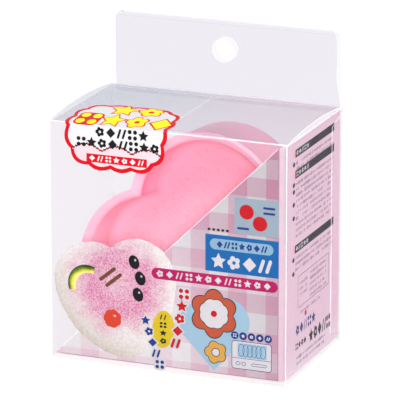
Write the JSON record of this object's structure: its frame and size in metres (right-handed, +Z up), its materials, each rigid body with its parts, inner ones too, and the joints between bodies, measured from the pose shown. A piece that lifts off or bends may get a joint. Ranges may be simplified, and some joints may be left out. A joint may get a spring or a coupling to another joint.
{
  "type": "heart-shaped sushi rice mold press in a clear hang box",
  "caption": "Heart-shaped rice mold cup with a nesting press lid, packed in a clear hinged hang box with an insert card.",
  "frame": {"origin": "middle of the box's footprint, on the surface it stands on", "axes": "+Z up; -Y is the front, with the insert card and seal; +X to the right seen from the front"},
  "size_m": [0.1, 0.0642, 0.129],
  "materials": {
    "clear_sheet": "clear glossy sheet, 0.4 mm",
    "printed_card": "coated card printed in pink gingham, 0.3 mm",
    "seal_label": "glossy printed label with a red border",
    "mold_plastic": "pink polypropylene, satin, finely embossed inside"
  },
  "bodies": {
    "box": {"front_wall": "clear_sheet", "back_wall": "clear_sheet", "left_wall": "clear_sheet", "right_wall": "clear_sheet", "glue_flap": "clear_sheet", "hang_tab_rear": "clear_sheet", "hang_tab_front": "clear_sheet", "bottom_dust_flap_left": "clear_sheet", "bottom_dust_flap_right": "clear_sheet", "card_front": "printed_card", "card_side": "printed_card", "seal_front": "seal_label", "mold_body": "mold_plastic"},
    "top_panel": {"top_lid": "clear_sheet", "seal_top": "seal_label"},
    "top_tuck_panel": {"top_tuck": "clear_sheet"},
    "top_flap_left": {"top_dust_flap_left": "clear_sheet"},
    "top_flap_right": {"top_dust_flap_right": "clear_sheet"},
    "bottom_panel": {"bottom_lid": "clear_sheet"},
    "bottom_tuck_panel": {"bottom_tuck": "clear_sheet"},
    "press": {"press_lid": "mold_plastic"}
  },
  "joints": [
    {"name": "lid_crease", "type": "hinge", "parent": "box", "child": "top_panel", "pos_m": [0, 0.0309, 0.0978], "axis": [-1, 0, 0], "range_deg": [0, 60]},
    {"name": "top_tuck_crease", "type": "hinge", "parent": "top_panel", "child": "top_tuck_panel", "pos_m": [0, -0.03095, 0.0972], "axis": [1, 0, 0], "range_deg": [0, 45]},
    {"name": "top_flap_left_crease", "type": "hinge", "parent": "box", "child": "top_flap_left", "pos_m": [-0.0495, 0, 0.0973], "axis": [0, 1, 0], "range_deg": [0, 7]},
    {"name": "top_flap_right_crease", "type": "hinge", "parent": "box", "child": "top_flap_right", "pos_m": [0.0495, 0, 0.0973], "axis": [0, -1, 0], "range_deg": [0, 6]},
    {"name": "bottom_crease", "type": "hinge", "parent": "box", "child": "bottom_panel", "pos_m": [0, 0.0309, 0.0002], "axis": [1, 0, 0], "range_deg": [0, 85]},
    {"name": "bottom_tuck_crease", "type": "hinge", "parent": "bottom_panel", "child": "bottom_tuck_panel", "pos_m": [0, -0.03095, 0.0008], "axis": [-1, 0, 0], "range_deg": [0, 45]},
    {"name": "press_slide", "type": "slide", "parent": "box", "child": "press", "axis": [0, -1, 0], "range_m": [0, 0.025]}
  ]
}
